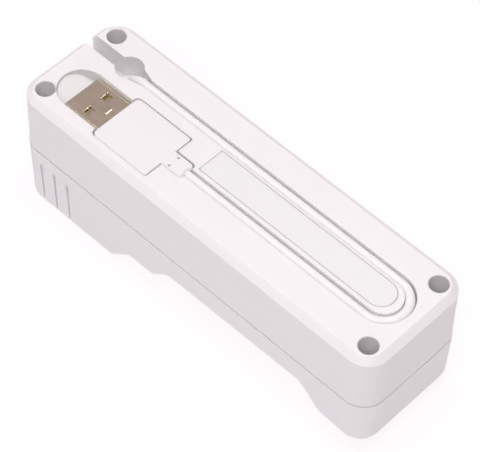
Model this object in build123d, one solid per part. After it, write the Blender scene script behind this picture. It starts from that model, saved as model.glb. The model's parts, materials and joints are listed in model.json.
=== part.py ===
from build123d import *
import math
import os

# Handheld bag heat sealer. Millimetres, +Z up, origin under the middle of the body.
# +X runs from the jaw end to the hinge end, and the face that stores the cable is on top.
# The base is the upper half. The press arm is the lower half, hinged near its +X end.

# Casing
BODY_LENGTH = 118.2
BODY_WIDTH = 34.8
BODY_HEIGHT = 39.0
ARM_DEPTH = 19.8
SEAM_GAP = 0.4
ARM_PROUD = 0.2
CORNER_RADIUS = 6.3
TOP_BEVEL = 1.8
SEAM_BEVEL = 0.1
ARM_RIM_BEVEL = 0.1
WALL = 1.8
ARM_DRAFT = 1.8
EDGE_SOFTEN = 0.2

# Screw holes in the cable face and the casing screws in them
HOLE_INSET = 5.2
HOLE_RADIUS = 2.5
HOLE_DEPTH = 10.0
BOSS_WALL = 1.2
SEAT_THICKNESS = 2.0
SCREW_RADIUS = 1.0
SCREW_HEAD_RADIUS = 2.0
SCREW_HEAD_HEIGHT = 1.5
FIT = 0.1
BODY_GAP = 0.3
ROOT = 0.5
POST_RADIUS = 2.6
INNER_SCREW_RADIUS = 0.8
INNER_SCREW_HEAD = 1.4
INNER_SCREW_HEAD_HEIGHT = 1.0
INNER_SCREW_LENGTH = 3.0

# USB plug, its recess and the finger scoop
PLUG_Y = -5.9
PLUG_TIP_INSET = 11.45
SHELL_LENGTH = 11.9
GRIP_LENGTH = 18.5
GRIP_WIDTH = 16.0
GRIP_HEIGHT = 6.6
GRIP_CORNER = 1.6
GRIP_REAR_CORNER = 0.7
GRIP_SOFTEN = 0.5
GRIP_BELLY = 1.5
SHELL_WIDTH = 12.0
SHELL_HEIGHT = 4.5
SHELL_SHEET = 0.3
SHELL_CORNER = 0.7
SHELL_DROP = 1.0
WINDOW_LENGTH = 2.1
WINDOW_WIDTH = 2.3
WINDOW_FROM_TIP = 4.9
WINDOW_SPACING = 6.0
SHELL_IN_GRIP = 6.0
TONGUE_HEIGHT = 1.9
TONGUE_SETBACK = 0.6
CONTACT_WIDTH = 1.1
CONTACT_LENGTHS = (8.0, 7.0, 7.0, 8.0)
CONTACT_PITCH = 2.3
RELIEF_LENGTH = 6.3
RELIEF_WIDTH = 5.0
RELIEF_COVER = 0.05
RELIEF_CORNER = 0.9
RELIEF_IN_GRIP = 3.0
KNUCKLE_FIT = 0.06
DIMPLE_FROM_GRIP = 1.9
DIMPLE_Y = 1.6
DIMPLE_RADIUS = 0.35
DIMPLE_DEPTH = 0.7
RECESS_GAP = 0.4
RECESS_SIDE_GAP = 0.15
RECESS_UNDER = 0.2
TIP_GAP = 0.5
SCOOP_RADIUS = 6.2
SCOOP_RIM_DEPTH = 1.0
SCOOP_SLOPE = 34.0

# Cable and its channel
CABLE_RADIUS = 1.25
CHANNEL_CLEARANCE = 0.2
CABLE_SINK = 0.2
TURN_INSET = 11.95
TURN_SLACK = 0.15
FAR_RUN_Y = 6.8
TROUGH_WALL = 1.3
POCKET_INSET = 15.05
POCKET_Y = 7.2
POCKET_RADIUS = 3.75
POCKET_DEPTH = 7.0
SLOT_Y = 6.95
SLOT_WIDTH = 3.6
RAMP_FOOT_INSET = 1.2
MOUTH_X = 2.6
MOUTH_NEAR = 2.4
MOUTH_FAR = 2.8
RAMP_SPREAD = 1.0
RAMP_RUN = 6.85
DIVE_OFFSET = 0.45
DIVE_RADIUS = 5.0
INNER_BEND = 4.5
GROMMET_WALL = 0.4
GROMMET_LIP = 0.45
GROMMET_LIP_HEIGHT = 0.6
CABLE_INNER_Z = 25.4
CABLE_INNER_RUN = 10.6
CLAMP_FROM_END = 3.0
CLAMP_LENGTH = 3.0
CLAMP_WALL = 0.6
CLAMP_HEAD_GAP = 0.05
CLAMP_END = 1.8
CLAMP_EAR = 1.5

# Label panel
PANEL_FROM_RELIEF = 1.65
PANEL_PAST_TURN = 2.75
PANEL_WIDTH = 7.8
PANEL_Y = 0.7
PANEL_THICKNESS = 0.6
PANEL_GAP = 0.15

# Inner deck and jaws
DECK_THICKNESS = 1.8
JAW_INSET = 13.3
BLOCK_WIDTH = 7.2
BLOCK_LENGTH = 25.0
BLOCK_HEIGHT = 4.0
BLOCK_FLANGE = 1.5
BLOCK_TAB_HEIGHT = 1.4
BLOCK_TAB_X = 6.2
BLOCK_TAB_Y = 11.0
BLOCK_TAB_END = 1.8
FILM_OVER_SIDE = 2.0
FILM_OVER_END = 1.0
STRIP_WIDTH = 3.0
STRIP_SHEET = 0.2
FILM_SHEET = 0.15
TERMINAL_SIZE = 1.6
PAD_WIDTH = 5.0
PAD_LENGTH = 24.0
PAD_HEIGHT = 2.4
PAD_GAP = 0.15
CARRIER_WALL = 0.8
CARRIER_FLOOR = 1.0
CARRIER_FLANGE = 1.0
CARRIER_OVER_SIDE = 1.5
CARRIER_OVER_END = 1.2
CARRIER_SINK = 0.3
PAD_ROUND = 0.8
FUSE_RADIUS = 1.2
FUSE_LENGTH = 7.5
FUSE_LEAD = 2.0
FUSE_LEAD_RADIUS = 0.35

# Electronics
BOARD_FROM_JAW = 15.8
BOARD_LENGTH = 24.0
BOARD_WIDTH = 22.0
BOARD_THICKNESS = 1.2
BOARD_LIFT = 2.0
BOARD_CORNER = 1.0
BOARD_POST_INSET = 2.2
BOARD_POST_RADIUS = 1.8
BATTERY_FROM_BOARD = 3.0
BATTERY_LENGTH = 40.0
BATTERY_WIDTH = 25.0
BATTERY_HEIGHT = 7.5
BATTERY_ROUND = 1.5
TAPE_THICKNESS = 0.5
TAPE_INSET = 2.5
LEAD_RADIUS = 0.4
LEAD_BEND = 0.6
TERMINAL_LEAD_BEND = 0.8
SWITCH_ARM = 12.0
SWITCH_LENGTH = 6.4
SWITCH_WIDTH = 5.8
SWITCH_HEIGHT = 5.0
PLUNGER_RADIUS = 0.9
PLUNGER_TRAVEL = 1.0
PLUNGER_GAP = 0.2
COLLAR_RADIUS = 1.4
COLLAR_HEIGHT = 0.6
PLUNGER_TAIL = 1.4
PLUNGER_ROUND = 0.3
SWITCH_FLOOR = 0.9
SWITCH_ROOF = 0.8
SWITCH_CORNER = 0.5
LIGHT_ALONG_BOARD = 12.0
LIGHT_RADIUS = 1.0
LIGHT_LIFT = 0.2
LIGHT_COLLAR = 0.6
LIGHT_COLLAR_LENGTH = 0.8
LED_LENGTH = 2.8
LED_HEIGHT = 2.2
LED_DEPTH = 1.4
LED_EDGE_INSET = 0.6

# Parts on the board: places along it, and sizes along X, along Y and upwards
CHIP_AT = (8.0, -3.0)
CHIP_SIZE = (5.0, 4.0, 1.4)
CHIP_LIFT = 0.2
CHIP_LEGS = 4
CHIP_LEG_PITCH = 1.27
CHIP_FIRST_LEG = 1.9
CHIP_LEG_WIDTH = 0.4
CHIP_LEG_HEIGHT = 0.5
CHIP_LEG_REACH = 3.0
TRANSISTOR_AT = (17.0, -5.5)
TRANSISTOR_SIZE = (6.4, 5.0, 2.3)
TAB_SIZE = (5.2, 2.0, 0.6)
INDUCTOR_AT = (17.5, 3.2)
INDUCTOR_SIZE = (5.2, 5.2, 3.0)
INDUCTOR_BEVEL = 1.0
CAPACITOR_PLACES = (6.4, 10.8)
CAPACITOR_Y = 5.4
CAPACITOR_RADIUS = 2.0
CAPACITOR_HEIGHT = 4.6
CAPACITOR_ROUND = 0.4

# Hinge and return spring
HINGE_INSET = 3.9
HINGE_RISE = 3.0
PIN_RADIUS = 1.0
PIN_FIT = 0.05
EAR_RADIUS = 1.8
EAR_THICKNESS = 2.2
ARM_EAR_Y = 2.6
EAR_SIDE_GAP = 0.4
BASE_EAR_TRIM = 0.2
ARM_EAR_CUT = 1.0
PIN_END_INSET = 0.1
PIN_BEVEL = 0.2
SPRING_INSET = 39.1
SPRING_RADIUS = 3.0
SPRING_WIRE = 0.35
SPRING_TURNS = 5
SPRING_SEAT = 1.0
SPRING_CUP_DEPTH = 4.0
SPRING_ROOM = 0.5
CUP_WALL = 1.0

# Lock slider on the far side
LOCK_FROM_JAW = 9.8
LOCK_TRAVEL = 4.0
LOCK_KNOB_LENGTH = 8.0
LOCK_KNOB_HEIGHT = 5.4
LOCK_KNOB_Z = 27.0
LOCK_RECESS_DEPTH = 0.9
LOCK_STEM_LENGTH = 3.0
LOCK_STEM_HEIGHT = 2.4
LOCK_PLATE_THICKNESS = 1.0
LOCK_LEG_LENGTH = 3.0
LOCK_FOOT_LENGTH = 3.0
LOCK_FOOT_REACH = 2.4
LOCK_FOOT_THICKNESS = 1.4
LOCK_DROP = 0.5
LOCK_SIDE_GAP = 0.6
LOCK_LEG_Y = 13.9
LOCK_FLUSH = 0.1
LOCK_RIDGE_HEIGHT = 0.3
LOCK_RIDGES = 5
LOCK_RIDGE_WIDTH = 0.8
LOCK_RIDGE_INSET = 0.4
LOCK_PEG_RADIUS = 0.9

# Press arm
ARM_PLATE_THICKNESS = 1.6
ARM_PLATE_FIT = 0.15
ARM_POST_RADIUS = 2.4
ARM_SCREW_LENGTH = 7.0
ARM_SCREW_SINK = 1.0
GROOVE_INSET = 7.7
GROOVE_PITCH = 4.7
GROOVE_COUNT = 3
GROOVE_WIDTH = 0.8
GROOVE_DEPTH = 0.9
GROOVE_TOP = 15.5
END_ROUND = 2.6
LONG_EDGE_ROUND = 1.2
FOOT_LENGTH = 32.2
FOOT_SLOPE = 6.9
SHELF_LENGTH = 8.3
SHELF_Z = 6.2
SHELF_RISE = 0.1
SHELF_SLOPE = 5.3
RECESS_START_Z = 11.4
RECESS_END_Z = 12.3
HEEL_LENGTH = 14.8
HEEL_SLOPE = 6.1
HEEL_START_Z = 6.0
HEEL_END_Z = 4.7

# Derived places
HALF_LENGTH = BODY_LENGTH / 2
HALF_WIDTH = BODY_WIDTH / 2
SEAM_Z = ARM_DEPTH + SEAM_GAP
DECK_TOP = SEAM_Z + DECK_THICKNESS
HOLE_X = HALF_LENGTH - HOLE_INSET
HOLE_Y = HALF_WIDTH - HOLE_INSET
HOLE_FLOOR = BODY_HEIGHT - HOLE_DEPTH
POST_TOP = HOLE_FLOOR - SEAT_THICKNESS
BOSS_RADIUS = HOLE_RADIUS + BOSS_WALL
PLUG_TIP_X = PLUG_TIP_INSET - HALF_LENGTH
GRIP_X = PLUG_TIP_X + SHELL_LENGTH
GRIP_END_X = GRIP_X + GRIP_LENGTH
RELIEF_END_X = GRIP_END_X + RELIEF_LENGTH
RELIEF_HEIGHT = 2 * (CABLE_RADIUS + RELIEF_COVER)
KNUCKLE_X = RELIEF_END_X - RELIEF_HEIGHT / 2
CHANNEL_WIDTH = 2 * (CABLE_RADIUS + CHANNEL_CLEARANCE)
CHANNEL_DEPTH = 2 * CABLE_RADIUS + CABLE_SINK
CABLE_Z = BODY_HEIGHT - CHANNEL_DEPTH + CABLE_RADIUS
SHELL_TOP = BODY_HEIGHT - SHELL_DROP
SHELL_MID = SHELL_TOP - SHELL_HEIGHT / 2
RECESS_FLOOR = BODY_HEIGHT - GRIP_HEIGHT - RECESS_UNDER
TURN_X = HALF_LENGTH - TURN_INSET
TURN_RADIUS = (FAR_RUN_Y - PLUG_Y) / 2
TURN_Y = (FAR_RUN_Y + PLUG_Y) / 2
POCKET_X = POCKET_INSET - HALF_LENGTH
POCKET_FLOOR = BODY_HEIGHT - POCKET_DEPTH
RAMP_END_X = POCKET_X + RAMP_RUN
DIVE_X = POCKET_X + DIVE_OFFSET
CABLE_END_X = DIVE_X + CABLE_INNER_RUN
CLAMP_X = CABLE_END_X - CLAMP_FROM_END
CLAMP_SPACING = CABLE_RADIUS + CLAMP_WALL + INNER_SCREW_HEAD + CLAMP_HEAD_GAP
PANEL_START_X = RELIEF_END_X + PANEL_FROM_RELIEF
PANEL_END_X = TURN_X + PANEL_PAST_TURN
JAW_X = JAW_INSET - HALF_LENGTH
BOARD_START_X = JAW_X + BOARD_FROM_JAW
BATTERY_START_X = BOARD_START_X + BOARD_LENGTH + BATTERY_FROM_BOARD
LIGHT_X = BOARD_START_X + LIGHT_ALONG_BOARD
SPRING_X = HALF_LENGTH - SPRING_INSET
LOCK_X = JAW_X + LOCK_FROM_JAW
GROOVE_X = GROOVE_INSET - HALF_LENGTH
HINGE_X = HALF_LENGTH - HINGE_INSET
HINGE_Z = SEAM_Z + HINGE_RISE
BLOCK_BOTTOM = SEAM_Z + STRIP_SHEET
BOARD_BOTTOM = DECK_TOP + BOARD_LIFT
BOARD_TOP = BOARD_BOTTOM + BOARD_THICKNESS
SWITCH_X = HINGE_X - SWITCH_ARM
ARM_PLATE_BOTTOM = ARM_DEPTH - ARM_PLATE_THICKNESS
INNER_LENGTH = BODY_LENGTH - 2 * WALL
INNER_WIDTH = BODY_WIDTH - 2 * WALL
INNER_CORNER = CORNER_RADIUS - WALL
GROMMET_RADIUS = CABLE_RADIUS + GROMMET_WALL
LIGHT_Z = BOARD_TOP + LIGHT_RADIUS + LIGHT_LIFT
CLAMP_Y = FAR_RUN_Y
SPRING_TOP = SEAM_Z + SPRING_SEAT
SPRING_BOTTOM = ARM_DEPTH - SPRING_CUP_DEPTH

os.makedirs("parts", exist_ok=True)


def span(x0, x1, y0, y1, z0, z1):
    """Box between two values on each axis."""
    middle = Pos((x0 + x1) / 2, (y0 + y1) / 2, (z0 + z1) / 2)
    return middle * Box(x1 - x0, y1 - y0, z1 - z0)


def rod(x, y, z0, z1, radius):
    """Upright round bar from z0 to z1."""
    return Pos(x, y, (z0 + z1) / 2) * Cylinder(radius, z1 - z0)


def rod_y(x, z, y0, y1, radius):
    """Round bar along Y."""
    return Pos(x, (y0 + y1) / 2, z) * Rot(90, 0, 0) * Cylinder(radius, y1 - y0)


def prism(length, width, radius, z0, z1, x=0, y=0):
    """Upright block with rounded vertical corners."""
    outline = Plane.XY.offset(z0) * Pos(x, y) * RectangleRounded(length, width, radius)
    return extrude(outline, amount=z1 - z0)


def save(name, shape):
    """Write one node."""
    export_step(shape, f"parts/{name}.step")


def group(shapes):
    """Separate solids kept together in one node."""
    return Compound(children=list(shapes))


def hole_places():
    """The four casing screw axes."""
    return [(sx * HOLE_X, sy * HOLE_Y) for sx in (-1, 1) for sy in (-1, 1)]


def channel_solid(width, z0, z1):
    """Solid of the channel's plan, of a given width."""
    half = width / 2
    near = span(RELIEF_END_X - 1, TURN_X, PLUG_Y - half, PLUG_Y + half, z0, z1)
    far = span(POCKET_X, TURN_X, FAR_RUN_Y - half, FAR_RUN_Y + half, z0, z1)
    ring = rod(TURN_X, TURN_Y, z0, z1, TURN_RADIUS + half)
    ring = ring - rod(TURN_X, TURN_Y, z0 - 1, z1 + 1, TURN_RADIUS - half)
    turn = ring & span(TURN_X, TURN_X + 20, TURN_Y - 20, TURN_Y + 20, z0, z1)
    return near + turn + far


def grip_plan(end_gap, side_gap, z0, z1):
    """Upright block over the plug grip's outline, grown by a gap: round in front, crisp behind."""
    length = GRIP_LENGTH + 2 * end_gap
    width = GRIP_WIDTH + 2 * side_gap
    middle = GRIP_X + GRIP_LENGTH / 2
    block = span(middle - length / 2, middle + length / 2, PLUG_Y - width / 2, PLUG_Y + width / 2, z0, z1)
    corners = block.edges().filter_by(Axis.Z).group_by(Axis.X)
    block = fillet(corners[0], GRIP_CORNER)
    return fillet(block.edges().filter_by(Axis.Z).group_by(Axis.X)[-1], GRIP_REAR_CORNER)


def plug_recess():
    """Cut that the plug, its grip and its relief lie in."""
    top = BODY_HEIGHT + 1
    grip = grip_plan(RECESS_GAP, RECESS_SIDE_GAP, RECESS_FLOOR, top)
    half = SHELL_WIDTH / 2 + RECESS_GAP
    shell = span(PLUG_TIP_X - TIP_GAP, GRIP_X + 1, PLUG_Y - half, PLUG_Y + half, RECESS_FLOOR, top)
    near = PLUG_Y - RELIEF_WIDTH / 2 - RECESS_SIDE_GAP
    far = PLUG_Y + RELIEF_WIDTH / 2 + RECESS_GAP
    floor = CABLE_Z - RELIEF_HEIGHT / 2 - RECESS_UNDER
    relief = span(GRIP_END_X - 1, RELIEF_END_X + RECESS_GAP, near, far, floor, top)
    relief = fillet(relief.edges().filter_by(Axis.Z).group_by(Axis.X)[-1], RELIEF_CORNER)
    return grip + shell + relief


def finger_scoop():
    """Half-round scoop beyond the plug tip, with a floor that slopes down to the plug."""
    rim = PLUG_TIP_X - SCOOP_RADIUS
    low = SCOOP_RIM_DEPTH + SCOOP_RADIUS * math.tan(math.radians(SCOOP_SLOPE))
    outline = [
        (rim - 1, BODY_HEIGHT - SCOOP_RIM_DEPTH),
        (rim, BODY_HEIGHT - SCOOP_RIM_DEPTH),
        (PLUG_TIP_X, BODY_HEIGHT - low),
        (PLUG_TIP_X, BODY_HEIGHT + 1),
        (rim - 1, BODY_HEIGHT + 1),
    ]
    side = make_face(Plane.XZ.offset(-PLUG_Y) * Polyline(outline, close=True))
    wedge = extrude(side, amount=SCOOP_RADIUS + 1, both=True)
    return wedge & rod(PLUG_TIP_X, PLUG_Y, BODY_HEIGHT - 10, BODY_HEIGHT + 1, SCOOP_RADIUS)


def cable_pocket():
    """Round pocket where the cable dives, its ramp to the channel and its slot to the end face."""
    top = BODY_HEIGHT + 1
    pocket = rod(POCKET_X, POCKET_Y, POCKET_FLOOR, top, POCKET_RADIUS)
    half = SLOT_WIDTH / 2
    slot = span(-HALF_LENGTH - 1, POCKET_X, SLOT_Y - half, SLOT_Y + half, POCKET_FLOOR, top)
    floor = BODY_HEIGHT - CHANNEL_DEPTH
    foot = POCKET_X + POCKET_RADIUS - RAMP_FOOT_INSET
    outline = [(POCKET_X, POCKET_FLOOR), (foot, POCKET_FLOOR), (RAMP_END_X, floor), (RAMP_END_X, top)]
    outline = outline + [(POCKET_X, top)]
    side = make_face(Plane.XZ.offset(-FAR_RUN_Y) * Polyline(outline, close=True))
    ramp = extrude(side, amount=CHANNEL_WIDTH / 2, both=True)
    mouth = [
        (POCKET_X + MOUTH_X, FAR_RUN_Y - MOUTH_NEAR),
        (RAMP_END_X, FAR_RUN_Y - CHANNEL_WIDTH / 2),
        (RAMP_END_X, FAR_RUN_Y + CHANNEL_WIDTH / 2),
        (POCKET_X + MOUTH_X, FAR_RUN_Y + MOUTH_FAR),
    ]
    flare = make_face(Plane.XY.offset(floor) * Polyline(mouth, close=True))
    return pocket + slot + ramp + extrude(flare, amount=CHANNEL_DEPTH + 1)


def troughs():
    """Walls that hang inside the base round the recess, the channel and the pocket."""
    top = BODY_HEIGHT
    wide = GRIP_WIDTH / 2 + RECESS_GAP + TROUGH_WALL
    start = PLUG_TIP_X - SCOOP_RADIUS - TROUGH_WALL
    end = GRIP_END_X + RECESS_GAP + TROUGH_WALL
    near = max(PLUG_Y - wide, -HALF_WIDTH + WALL / 2)
    plug = span(start, end, near, PLUG_Y + wide, RECESS_FLOOR - TROUGH_WALL, top)
    half = RELIEF_WIDTH / 2 + RECESS_GAP + TROUGH_WALL
    floor = CABLE_Z - RELIEF_HEIGHT / 2 - RECESS_UNDER - TROUGH_WALL
    relief = span(end - 1, RELIEF_END_X + TROUGH_WALL, PLUG_Y - half, PLUG_Y + half, floor, top)
    width = CHANNEL_WIDTH + 2 * TROUGH_WALL
    channel = channel_solid(width, BODY_HEIGHT - CHANNEL_DEPTH - TROUGH_WALL, top)
    low = POCKET_FLOOR - TROUGH_WALL
    pocket = rod(POCKET_X, POCKET_Y, low, top, POCKET_RADIUS + TROUGH_WALL)
    half = SLOT_WIDTH / 2 + TROUGH_WALL
    slot = span(-HALF_LENGTH + 1, POCKET_X, SLOT_Y - half, SLOT_Y + half, low, top)
    half = CHANNEL_WIDTH / 2 + TROUGH_WALL + RAMP_SPREAD
    ramp = span(POCKET_X, RAMP_END_X + 1, FAR_RUN_Y - half, FAR_RUN_Y + half, low, top)
    return plug + relief + channel + pocket + slot + ramp


def base_outer():
    """Outside of the base with its bevelled top edge and softened seam edge."""
    block = prism(BODY_LENGTH, BODY_WIDTH, CORNER_RADIUS, SEAM_Z, BODY_HEIGHT)
    block = chamfer(block.edges().group_by(Axis.Z)[-1], TOP_BEVEL)
    return chamfer(block.edges().group_by(Axis.Z)[0], SEAM_BEVEL)


def panel_plan(grow, z0, z1):
    """Label panel outline: square end by the plug and a round end by the turn."""
    half = PANEL_WIDTH / 2 + grow
    centre = PANEL_END_X - PANEL_WIDTH / 2
    flat = span(PANEL_START_X - grow, centre, PANEL_Y - half, PANEL_Y + half, z0, z1)
    return flat + rod(centre, PANEL_Y, z0, z1, half)


def lock_cuts():
    """Knob recess and stem slot through the far wall."""
    half = LOCK_KNOB_LENGTH / 2 + BODY_GAP
    tall = LOCK_KNOB_HEIGHT / 2 + BODY_GAP
    recess = span(LOCK_X - half, LOCK_X + half + LOCK_TRAVEL, HALF_WIDTH - LOCK_RECESS_DEPTH,
                  HALF_WIDTH + 1, LOCK_KNOB_Z - tall, LOCK_KNOB_Z + tall)
    half = LOCK_STEM_LENGTH / 2 + BODY_GAP
    tall = LOCK_STEM_HEIGHT / 2 + FIT
    slot = span(LOCK_X - half, LOCK_X + half + LOCK_TRAVEL, HALF_WIDTH - WALL - 1,
                HALF_WIDTH + 1, LOCK_KNOB_Z - tall, LOCK_KNOB_Z + tall)
    return recess + slot


def base_shell():
    """Upper casing with everything moulded into it."""
    outer = base_outer()
    hollow = prism(INNER_LENGTH, INNER_WIDTH, INNER_CORNER, SEAM_Z - 1, BODY_HEIGHT - WALL)
    inside = troughs()
    for x, y in hole_places():
        inside = inside + rod(x, y, POST_TOP, BODY_HEIGHT, BOSS_RADIUS)
    shell = (outer - hollow) + (inside & outer)
    shell = shell - plug_recess() - finger_scoop() - cable_pocket()
    shell = shell - channel_solid(CHANNEL_WIDTH, BODY_HEIGHT - CHANNEL_DEPTH, BODY_HEIGHT + 1)
    shell = shell - panel_plan(PANEL_GAP, BODY_HEIGHT - PANEL_THICKNESS, BODY_HEIGHT + 1)
    for x, y in hole_places():
        shell = shell - rod(x, y, HOLE_FLOOR, BODY_HEIGHT + 1, HOLE_RADIUS)
        rim = HOLE_RADIUS + EDGE_SOFTEN
        shell = shell - Pos(x, y, BODY_HEIGHT - EDGE_SOFTEN / 2) * Cone(HOLE_RADIUS, rim, EDGE_SOFTEN)
        shell = shell - rod(x, y, POST_TOP - 1, BODY_HEIGHT, SCREW_RADIUS + FIT)
    shell = shell - rod(DIVE_X, FAR_RUN_Y, POCKET_FLOOR - 5, POCKET_FLOOR + 1, GROMMET_RADIUS)
    shell = shell - rod_y(LIGHT_X, LIGHT_Z, HALF_WIDTH - WALL - 1, HALF_WIDTH + 1, LIGHT_RADIUS)
    return shell - lock_cuts()


def screw(x, y, seat, radius, length, head_radius, head_height):
    """Pan-head screw with a cross recess, its head resting at the seat height."""
    body = rod(x, y, seat - length, seat, radius)
    head = rod(x, y, seat, seat + head_height, head_radius)
    head = fillet(head.edges().group_by(Axis.Z)[-1], head_height / 3)
    arm = head_radius * 0.6
    thin = head_radius * 0.12
    top = seat + head_height
    bottom = top - head_height / 2
    cross = span(x - arm, x + arm, y - thin, y + thin, bottom, top + 1)
    cross = cross + span(x - thin, x + thin, y - arm, y + arm, bottom, top + 1)
    return body + head - cross


def casing_screws():
    """Four screws whose heads sit deep in the corner holes."""
    length = HOLE_FLOOR - DECK_TOP
    args = (HOLE_FLOOR, SCREW_RADIUS, length, SCREW_HEAD_RADIUS, SCREW_HEAD_HEIGHT)
    return group(screw(x, y, *args) for x, y in hole_places())


def label_plate():
    """Blank flush panel between the two cable runs."""
    return panel_plan(0, BODY_HEIGHT - PANEL_THICKNESS, BODY_HEIGHT)


def knuckle(radius):
    """Bar along Y round the axis that the plug tips about."""
    half = RELIEF_WIDTH / 2
    return rod_y(KNUCKLE_X, CABLE_Z, PLUG_Y - half, PLUG_Y + half, radius)


def usb_plug_body():
    """Plug grip and its strain relief, which ends in a round knuckle where the cable flexes."""
    low = BODY_HEIGHT - GRIP_HEIGHT
    grip = grip_plan(0, 0, low, BODY_HEIGHT)
    grip = fillet(grip.edges().group_by(Axis.Z)[-1], GRIP_SOFTEN)
    room = span(GRIP_X, GRIP_END_X + 1, PLUG_Y - GRIP_WIDTH, PLUG_Y + GRIP_WIDTH, low, BODY_HEIGHT + 1)
    belly = room.edges().filter_by(Axis.Y).group_by(Axis.Z)[0].group_by(Axis.X)[0]
    grip = grip & fillet(belly, GRIP_BELLY)
    half = RELIEF_WIDTH / 2
    low = CABLE_Z - RELIEF_HEIGHT / 2
    high = CABLE_Z + RELIEF_HEIGHT / 2
    start = GRIP_END_X - RELIEF_IN_GRIP
    bar = span(start, KNUCKLE_X, PLUG_Y - half, PLUG_Y + half, low, high)
    length = RELIEF_END_X - start
    plan = prism(length, RELIEF_WIDTH, RELIEF_CORNER, low, high, start + length / 2, PLUG_Y)
    relief = (bar + knuckle(RELIEF_HEIGHT / 2)) & plan
    for side in (-1, 1):
        x = GRIP_END_X + DIMPLE_FROM_GRIP
        relief = relief - rod(x, PLUG_Y + side * DIMPLE_Y, high - DIMPLE_DEPTH, high + 1, DIMPLE_RADIUS)
    return grip + relief - shell_block(0)


def shell_block(inset):
    """Solid of the plug's metal shell, inset on its four long sides."""
    width = SHELL_WIDTH - 2 * inset
    height = SHELL_HEIGHT - 2 * inset
    end = GRIP_X + SHELL_IN_GRIP
    outline = RectangleRounded(height, width, SHELL_CORNER - inset)
    bar = extrude(Plane.YZ.offset(PLUG_TIP_X) * Rot(0, 0, 90) * outline, amount=end - PLUG_TIP_X)
    return Pos(0, PLUG_Y, SHELL_MID) * bar


def usb_plug_shell():
    """Bent sheet shell with two latch windows above and below and a spring tab."""
    shell = shell_block(0) - Pos(-1, 0, 0) * shell_block(SHELL_SHEET)
    shell = shell - Pos(1, 0, 0) * shell_block(SHELL_SHEET)
    for side in (-1, 1):
        x = PLUG_TIP_X + WINDOW_FROM_TIP
        y = PLUG_Y + side * WINDOW_SPACING / 2
        half = WINDOW_WIDTH / 2
        shell = shell - span(x, x + WINDOW_LENGTH, y - half, y + half, SHELL_MID - 5, SHELL_MID + 5)
    seam = span(PLUG_TIP_X - 1, GRIP_X + 20, PLUG_Y - 0.04, PLUG_Y + 0.04, 0, SHELL_MID)
    return shell - seam


def usb_plug_tongue():
    """Plastic insulator that carries the contacts in the lower half of the shell."""
    half = SHELL_WIDTH / 2
    low = SHELL_MID - SHELL_HEIGHT / 2 + SHELL_SHEET
    start = PLUG_TIP_X + TONGUE_SETBACK
    end = GRIP_X + SHELL_IN_GRIP
    tongue = span(start, end, PLUG_Y - half, PLUG_Y + half, low, low + TONGUE_HEIGHT)
    back = span(GRIP_X, end, PLUG_Y - half, PLUG_Y + half, low, low + SHELL_HEIGHT)
    tongue = (tongue + back) & shell_block(SHELL_SHEET)
    return tongue - contact_blocks()


def contact_blocks():
    """Four contact strips set into the tongue's upper face."""
    low = SHELL_MID - SHELL_HEIGHT / 2 + SHELL_SHEET
    top = low + TONGUE_HEIGHT
    bars = []
    for index, length in enumerate(CONTACT_LENGTHS):
        y = PLUG_Y + (index - 1.5) * CONTACT_PITCH
        end = GRIP_X - 0.4
        half = CONTACT_WIDTH / 2
        bars.append(span(end - length, end, y - half, y + half, top - 0.25, top))
    return group(bars)


def tube(path, radius):
    """Round tube along a path that starts at the path's first point."""
    start = Plane(origin=path @ 0, z_dir=path % 0)
    return sweep(start * Circle(radius), path=path)


def cable_path():
    """Whole cable route: channel, dive through the grommet, and in to the clamp."""
    turn_x = TURN_X - TURN_SLACK
    near = Line((KNUCKLE_X, PLUG_Y, CABLE_Z), (turn_x, PLUG_Y, CABLE_Z))
    tip = (turn_x + TURN_RADIUS, TURN_Y, CABLE_Z)
    turn = ThreePointArc((turn_x, PLUG_Y, CABLE_Z), tip, (turn_x, FAR_RUN_Y, CABLE_Z))
    top_x = DIVE_X + DIVE_RADIUS
    far = Line((turn_x, FAR_RUN_Y, CABLE_Z), (top_x, FAR_RUN_Y, CABLE_Z))
    lean = math.sqrt(0.5)
    y = FAR_RUN_Y
    low = CABLE_Z - DIVE_RADIUS
    knee = (top_x - DIVE_RADIUS * lean, y, low + DIVE_RADIUS * lean)
    dive = ThreePointArc((top_x, y, CABLE_Z), knee, (DIVE_X, y, low))
    bend_z = CABLE_INNER_Z + INNER_BEND
    drop = Line((DIVE_X, y, low), (DIVE_X, y, bend_z))
    foot = DIVE_X + INNER_BEND
    knee = (foot - INNER_BEND * lean, y, bend_z - INNER_BEND * lean)
    bend = ThreePointArc((DIVE_X, y, bend_z), knee, (foot, y, CABLE_INNER_Z))
    tail = Line((foot, y, CABLE_INNER_Z), (CABLE_END_X, y, CABLE_INNER_Z))
    return Wire([near, turn, far, dive, drop, bend, tail])


def usb_cable():
    """Cable jacket along its whole route, hollowed at its start to clear the knuckle."""
    path = cable_path()
    cable = tube(path, CABLE_RADIUS)
    section = math.pi * CABLE_RADIUS ** 2
    ratio = cable.volume / section / path.length
    print("cable length", round(path.length, 1), "volume ratio", round(ratio, 4))
    print("cable radii", round(TURN_RADIUS, 2), DIVE_RADIUS, INNER_BEND)
    return cable - knuckle(RELIEF_HEIGHT / 2 + KNUCKLE_FIT)


def cable_grommet():
    """Flanged ring that seals the cable in the pocket floor."""
    low = POCKET_FLOOR - TROUGH_WALL
    lip = GROMMET_RADIUS + GROMMET_LIP
    ring = rod(DIVE_X, FAR_RUN_Y, low, POCKET_FLOOR, GROMMET_RADIUS)
    ring = ring + rod(DIVE_X, FAR_RUN_Y, POCKET_FLOOR, POCKET_FLOOR + GROMMET_LIP_HEIGHT, lip)
    ring = ring + rod(DIVE_X, FAR_RUN_Y, low - GROMMET_LIP_HEIGHT, low, lip)
    return ring - rod(DIVE_X, FAR_RUN_Y, low - 2, POCKET_FLOOR + 2, CABLE_RADIUS)


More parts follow.
